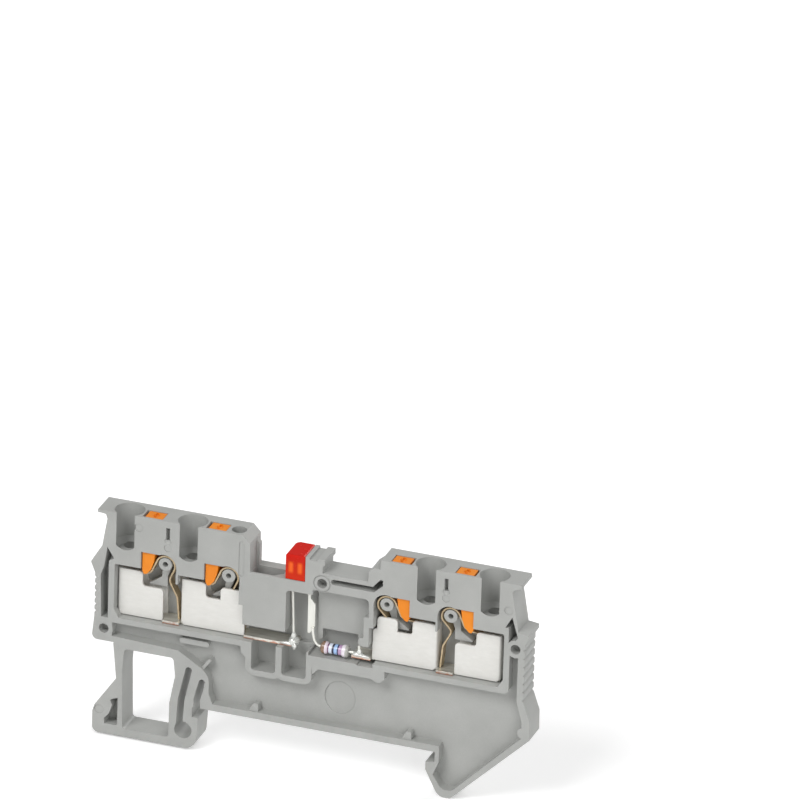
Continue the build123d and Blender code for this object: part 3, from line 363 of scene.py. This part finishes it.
def lens_material():
    """Clear red moulding, with painted shade that makes it deeper red above, and the lamp's glow in
    its front.
    """
    n = Nodes("clear_red")
    low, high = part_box("indicator_lens")
    axes = n.axes()
    lift = n.span(axes[2], low.z, high.z, 0.0, 1.0)
    across = n.span(axes[0], low.x, high.x, 0.0, 1.0)
    depth = n.span(axes[1], low.y, high.y, 1.0, 0.0)
    # Painted shade: the lens turns deeper red towards its top, where the light falls differently.
    body = n.ramp(
        lift,
        (0.0, srgb(206, 44, 12)),
        (0.6, srgb(198, 38, 12)),
        (0.85, srgb(200, 22, 6)),
        (1.0, srgb(206, 20, 4)),
    )
    clouds = n.noise(0.8)
    body = n.mix(n.span(clouds, 0.3, 0.7, 0.0, 0.2), body, srgb(196, 44, 18))
    n.set(
        Base_Color=n.mix(lens_glow(n, across, lift, depth), body, srgb(250, 112, 40)),
        Roughness=n.span(clouds, 0.3, 0.7, 0.2, 0.3),
        Specular_IOR_Level=0.15,
    )
    n.surface(n.noise(1.0, detail=2.0), strength=0.05, distance_mm=0.02, bevel_mm=0.15)
    return n.material


def lamp_material():
    """Tinted clear resin, brighter towards the top."""
    n = Nodes("tinted_resin")
    low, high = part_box("indicator_lamp")
    lift = n.span(n.axes()[2], low.z, high.z, 0.0, 1.0)
    swirl = n.noise(1.5)
    body = n.ramp(lift, (0.0, srgb(214, 84, 40)), (1.0, srgb(246, 132, 70)))
    n.set(
        Base_Color=n.mix(n.span(swirl, 0.3, 0.7, 0.0, 0.3), body, srgb(255, 170, 110)),
        Roughness=n.span(swirl, 0.3, 0.7, 0.08, 0.16),
        Transmission_Weight=0.35,
        IOR=1.52,
    )
    n.surface(swirl, strength=0.04, distance_mm=0.02)
    return n.material


def resistor_material():
    """Lacquered body with its colour bands, glossy and a little uneven."""
    n = Nodes("banded_lacquer")
    low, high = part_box("resistor_body")
    along = n.span(n.axes()[0], low.x, high.x, 0.0, 1.0)
    waver = n.span(n.noise(0.9, detail=2.0), 0.3, 0.7, -BAND_WAVER, BAND_WAVER)
    bands = n.ramp(n.math("ADD", along, waver), *RESISTOR_BANDS, interpolation="CONSTANT")
    fine = n.noise(3.0)
    n.set(
        Base_Color=n.mix(n.span(fine, 0.3, 0.7, 0.0, 0.12), bands, srgb(90, 92, 104)),
        Roughness=n.span(fine, 0.3, 0.7, 0.22, 0.34),
        Coat_Weight=0.25,
    )
    n.surface(fine, strength=0.12, distance_mm=0.02)
    return n.material


def housing_material():
    """Light grey plastic of the housing."""
    dark, light = srgb(165, 166, 163), srgb(173, 174, 171)
    return moulded("grey_moulding", dark, light, rough=0.52, bevel_mm=0.08)


def button_material():
    """Orange plastic of the buttons."""
    dark, light = srgb(230, 128, 14), srgb(238, 140, 24)
    return moulded("orange_moulding", dark, light, rough=0.46, bevel_mm=0.08)


def cage_material():
    """Matt tin on the folded plate of the cages."""
    dark, light = srgb(221, 220, 215), srgb(230, 229, 225)
    return metal(
        "tinned_cage", dark, light,
        rough=0.55, stretch=(0.4, 1, 1), bevel_mm=0.1, metallic=0.1, relief=0.04,
    )


def spring_material():
    """Straw-coloured strip of the springs."""
    dark, light = srgb(172, 150, 116), srgb(212, 194, 162)
    return metal(
        "spring_strip", dark, light,
        rough=0.36, stretch=(1, 0.1, 1), bevel_mm=0.03, metallic=0.6, relief=0.16,
    )


def lead_material():
    """Bright tin on the lamp's leads and the resistor's wires."""
    dark, light = srgb(226, 226, 218), srgb(246, 246, 240)
    return metal(
        "tinned_wire", dark, light,
        rough=0.34, stretch=(1, 1, 0.15), bevel_mm=0.03, metallic=0.4, relief=0.16,
    )


def solder_material():
    """White, shiny solder."""
    dark, light = srgb(216, 218, 214), srgb(246, 246, 242)
    return metal(
        "solder", dark, light,
        rough=0.24, stretch=(1, 1, 1), bevel_mm=0.05, metallic=0.45, relief=0.16,
    )


MATERIALS = {
    "housing": housing_material(),
    "buttons": button_material(),
    "cages": cage_material(),
    "springs": spring_material(),
    "bars": bar_material(),
    "lens": lens_material(),
    "lamp": lamp_material(),
    "leads": lead_material(),
    "resistor": resistor_material(),
    "solder": solder_material(),
}
for part in RECORD["subparts"]:
    materials = NODES[part["node"]].data.materials
    materials.clear()
    materials.append(MATERIALS[part["material_slot"]])


# Pieces

def put_in_scene(name, data):
    """An object in the scene for some mesh, light or camera."""
    thing = bpy.data.objects.new(name, data)
    bpy.context.scene.collection.objects.link(thing)
    return thing


def add_piece(name, mesh, slot, body, *nodes):
    """A piece that stands for the CAD nodes named, and rides on a body if one is given."""
    mesh.materials.clear()
    mesh.materials.append(MATERIALS[slot])
    piece = put_in_scene(name, mesh)
    if body:
        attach(piece, body)
    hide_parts(*nodes)
    return piece


def finished(bm, name):
    """A mesh from a bmesh, smooth where its faces meet at a low angle."""
    bmesh.ops.recalc_face_normals(bm, faces=bm.faces)
    mesh = bpy.data.meshes.new(name)
    bm.to_mesh(mesh)
    bm.free()
    mesh.shade_smooth()
    mesh.set_sharp_from_angle(angle=math.radians(PIECE_CREASE))
    return mesh


def bridge(bm, rings):
    """Faces from each ring of points to the next."""
    for a, b in zip(rings, rings[1:]):
        for i in range(len(a)):
            k = (i + 1) % len(a)
            bm.faces.new((a[i], a[k], b[k], b[i]))


def close_ends(bm, rings):
    """A face over the first ring and one over the last."""
    bm.faces.new(rings[0])
    bm.faces.new(rings[-1])


def heading(line, i):
    """From the point before one on a line to the point after it."""
    return line[min(i + 1, len(line) - 1)] - line[max(i - 1, 0)]


def post(number):
    """Where a clamp's post is along the block, in mm, and to which side its clamp opens."""
    entry = MOUNTS[f"conductor_entry_{number}"][0]
    side = math.copysign(1, entry)
    return entry / MM - side * POST_TO_ENTRY, side


def box_between(bm, xs, ys, zs):
    """A box in mm."""
    rings = []
    for z in zs:
        corners = ((xs[0], ys[0]), (xs[1], ys[0]), (xs[1], ys[1]), (xs[0], ys[1]))
        rings.append([bm.verts.new(Vector((x, y, z)) * MM) for x, y in corners])
    bridge(bm, rings)
    close_ends(bm, rings)


def web_cutter():
    """One box through each button's window, a little higher than the thin web across it."""
    bm = bmesh.new()
    for number in CLAMPS:
        x, side = post(number)
        ends = sorted(x + side * along for along in WEB_ALONG)
        box_between(bm, ends, WEB_DEPTH, WEB_HEIGHT)
    return put_in_scene("cutter", finished(bm, "cutter"))


def modified(mesh, *modifiers):
    """The mesh after some modifiers, each a kind and its settings."""
    thing = put_in_scene("thing", mesh)
    for kind, settings in modifiers:
        modifier = thing.modifiers.new(kind.lower(), kind)
        for key, value in settings.items():
            setattr(modifier, key, value)
    graph = bpy.context.evaluated_depsgraph_get()
    result = bpy.data.meshes.new_from_object(thing.evaluated_get(graph), depsgraph=graph)
    bpy.data.objects.remove(thing)
    return result


def bare_copy(node):
    """A node's mesh without its own normals and creases, which don't outlast a cut."""
    mesh = node.data.copy()
    mesh.transform(node.matrix_world)
    for name in ("custom_normal", "sharp_face", "sharp_edge"):
        if name in mesh.attributes:
            mesh.attributes.remove(mesh.attributes[name])
    return mesh


def make_housing():
    """The housing with the thin web cleared from the window in front of each button."""
    cutter = web_cutter()
    mesh = modified(
        bare_copy(NODES["housing"]),
        ("WELD", {"merge_threshold": WELD * MM}),
        ("BOOLEAN", {"object": cutter, "solver": "EXACT"}),
    )
    bpy.data.objects.remove(cutter)
    mesh.shade_smooth()
    mesh.set_sharp_from_angle(angle=math.radians(HOUSING_CREASE))
    mesh = modified(mesh, ("WEIGHTED_NORMAL", {"keep_sharp": True, "weight": 100}))
    mesh.name = "open_housing"
    add_piece("open_housing", mesh, "housing", "block", "housing")


def corner_arc(corner, before, after):
    """Points round a corner, from one point on its way in to one on its way out."""
    return [before.lerp(corner, s).lerp(corner.lerp(after, s), s) for s in STEPS]


def rounded_line(points, radius):
    """A line through points with its inner corners rounded."""
    line = [points[0]]
    for before, corner, after in zip(points, points[1:], points[2:]):
        back, on = before - corner, after - corner
        reach = radius / math.tan(back.angle(on) / 2)
        reach = min(reach, CORNER_SHARE * back.length, CORNER_SHARE * on.length)
        start, end = corner + back.normalized() * reach, corner + on.normalized() * reach
        line += corner_arc(corner, start, end)
    return line + [points[-1]]


def loop_line():
    """The loop of a spring, from its clamping side over the top to its seated side."""
    first, last = math.radians(LOOP_FROM), math.radians(LOOP_TO)
    turns = [first + (last - first) * i / LOOP_PARTS for i in range(LOOP_PARTS + 1)]
    return [
        Vector((LOOP_R * math.cos(a), LOOP_FRONT, LOOP_Z + LOOP_R * math.sin(a)))
        for a in turns
    ]


def spring_line():
    """Middle of a spring's strip as (along, front edge, up), from the clamping end to the foot."""
    loop = loop_line()
    fall = loop[-1].z - WAIST_Z
    waist_along = loop[-1].x + math.tan(math.radians(LOOP_TO)) * fall
    waist = Vector((waist_along, LEG_FRONT, WAIST_Z))
    clamping = [Vector(p) for p in CLAMPING_LEG] + [loop[0]]
    onward = loop[-1].lerp(loop[-2], -LOOP_LEAD)
    seated = [onward, waist, Vector(KNEE), Vector(FOOT_END)]
    clamping = rounded_line(clamping, CLAMPING_BEND)
    return clamping[:-1] + loop + rounded_line(seated, SEATED_BEND)[1:]


def spring_ring(bm, p, run, x, side):
    """Four corners of the strip at one point of its line."""
    out = Vector((-run.z, 0, run.x)).normalized() * SPRING_THICK / 2
    corners = ((out, p.y), (-out, p.y), (-out, SPRING_BACK), (out, SPRING_BACK))
    return [
        bm.verts.new(Vector((x + side * (p.x + offset.x), y, p.z + offset.z)) * MM)
        for offset, y in corners
    ]


def make_spring(number):
    """A leaf spring round its post, wider at the loop."""
    x, side = post(number)
    line = spring_line()
    bm = bmesh.new()
    rings = [spring_ring(bm, p, heading(line, i), x, side) for i, p in enumerate(line)]
    bridge(bm, rings)
    close_ends(bm, rings)
    name = f"spring_strip_{number}"
    piece = add_piece(name, finished(bm, name), "springs", None, f"clamp_spring_{number}")
    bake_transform(piece)


def smooth_line(points):
    """A Catmull-Rom curve through points, with six steps from one to the next."""
    ends = [2 * points[0] - points[1]] + points + [2 * points[-1] - points[-2]]
    line = []
    for a, b, c, d in zip(ends, ends[1:], ends[2:], ends[3:]):
        for s in STEPS[:-1]:
            curve = (2 * a - 5 * b + 4 * c - d) * s ** 2 + (3 * b - a - 3 * c + d) * s ** 3
            line.append(b + ((c - a) * s + curve) / 2)
    return line + [points[-1]]


def wire_line():
    """The resistor's left wire, from the paddle's lower edge to just inside the body."""
    low, high = (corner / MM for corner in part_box("resistor_body"))
    y, z = (low.y + high.y) / 2, (low.z + high.z) / 2
    points = [Vector((x, y, up)) for x, up in WIRE_TOP]
    points += [Vector((x, y, z + rise)) for x, rise in WIRE_TURN]
    return smooth_line(points + [Vector((low.x + WIRE_IN_BODY, y, z))])


def make_wire():
    """The resistor's left wire as a round tube, bent in one sweep."""
    line = wire_line()
    across = Vector((0, 1, 0))
    turns = [2 * math.pi * k / WIRE_SIDES for k in range(WIRE_SIDES)]
    bm = bmesh.new()
    rings = []
    for i, p in enumerate(line):
        out = heading(line, i).normalized().cross(across)
        ring = [p + (out * math.cos(t) + across * math.sin(t)) * WIRE_R for t in turns]
        rings.append([bm.verts.new(v * MM) for v in ring])
    bridge(bm, rings)
    close_ends(bm, rings)
    mesh = finished(bm, "resistor_lead_left")
    add_piece("resistor_lead_left", mesh, "leads", "block", "resistor_wire_left")


def lump(bm, centre, radii, turn):
    """A lumpy closed drop, as solder sets."""
    rings = []
    for i in range(DROP_ROWS + 1):
        a = math.pi * i / DROP_ROWS
        ring = []
        for j in range(DROP_COLUMNS):
            b = 2 * math.pi * j / DROP_COLUMNS
            swell = 1 + DROP_WAVE * math.sin(3 * b + turn) * math.sin(a)
            swell += DROP_WAVE * math.sin(2 * a + 5 * turn) * math.cos(2 * b)
            d = Vector((math.sin(a) * math.cos(b), math.sin(a) * math.sin(b), math.cos(a)))
            ring.append(bm.verts.new((Vector(centre) + d * swell * Vector(radii)) * MM))
        rings.append(ring)
    bridge(bm, rings)
    bmesh.ops.remove_doubles(bm, verts=bm.verts, dist=0.001 * MM)


def make_solder(name, node, drops):
    """Solder as it set on a bar, in several drops run together."""
    bm = bmesh.new()
    for number, (centre, radii) in enumerate(drops):
        lump(bm, centre, radii, NEXT_TURN * number + FIRST_TURN)
    add_piece(name, finished(bm, name), "solder", "block", node)


make_housing()
for number in CLAMPS:
    make_spring(number)
make_wire()
make_solder("solder_left", "solder_joint_left", DROPS_LEFT)
make_solder("solder_right", "solder_joint_right", DROPS_RIGHT)


# Floor, light and camera

def seen_directly(n):
    """1 on rays from the camera, in gloss and through glass, and 0 on those that light things."""
    rays = n.add("ShaderNodeLightPath").outputs
    gloss = n.math("MAXIMUM", rays["Is Camera Ray"], rays["Is Glossy Ray"])
    return n.math("MAXIMUM", gloss, rays["Is Transmission Ray"])


def floor_material():
    """A pale surface that the camera, gloss and glass see as near white."""
    n = Nodes("pale_floor")
    n.set(
        Base_Color=grey(FLOOR_WHITE),
        Roughness=0.9,
        Emission_Color=grey(1),
        Emission_Strength=n.math("MULTIPLY", seen_directly(n), FLOOR_GLOW),
    )
    return n.material


def make_floor():
    """A flat floor under the block."""
    z = CAD_BOX[0][2]
    bm = bmesh.new()
    corners = ((-1, -1), (1, -1), (1, 1), (-1, 1))
    bm.faces.new([bm.verts.new((x * FLOOR_HALF, y * FLOOR_HALF, z)) for x, y in corners])
    mesh = bpy.data.meshes.new("floor")
    bm.to_mesh(mesh)
    bm.free()
    mesh.materials.append(floor_material())
    floor = put_in_scene("floor", mesh)


def make_light(name, place, size, power):
    """A round soft light that aims at the block."""
    data = bpy.data.lights.new(name, "AREA")
    data.shape = "DISK"
    data.size = size
    data.energy = power
    light = put_in_scene(name, data)
    light.location = place
    towards = Vector(AIM) - Vector(place)
    light.rotation_euler = towards.to_track_quat("-Z", "Y").to_euler()


def make_world():
    """A white world, which the camera sees brighter than it shines."""
    world = bpy.data.worlds.new("soft_white")
    world.use_nodes = True
    bpy.context.scene.world = world
    tree = world.node_tree
    background = tree.nodes["Background"]
    background.inputs["Color"].default_value = grey(1)
    path = tree.nodes.new("ShaderNodeLightPath")
    level = tree.nodes.new("ShaderNodeMapRange")
    level.inputs["To Min"].default_value = WORLD_LIGHT
    level.inputs["To Max"].default_value = WORLD_SEEN
    tree.links.new(path.outputs["Is Camera Ray"], level.inputs["Value"])
    tree.links.new(level.outputs["Result"], background.inputs["Strength"])


def make_camera():
    """The camera that sees the block as the photograph does."""
    data = bpy.data.cameras.new("camera")
    data.lens = CAMERA_LENS
    data.sensor_width = CAMERA_SENSOR
    data.clip_end = CAMERA_REACH
    camera = put_in_scene("camera", data)
    turn = Matrix((CAMERA_RIGHT, CAMERA_UP, CAMERA_BACK)).transposed().to_4x4()
    camera.matrix_world = Matrix.Translation(CAMERA_PLACE) @ turn
    bpy.context.scene.camera = camera


make_floor()
make_world()
for name, (place, size, power) in LIGHTS.items():
    make_light(name, place, size, power)
make_camera()
bpy.context.scene.view_settings.view_transform = "Standard"
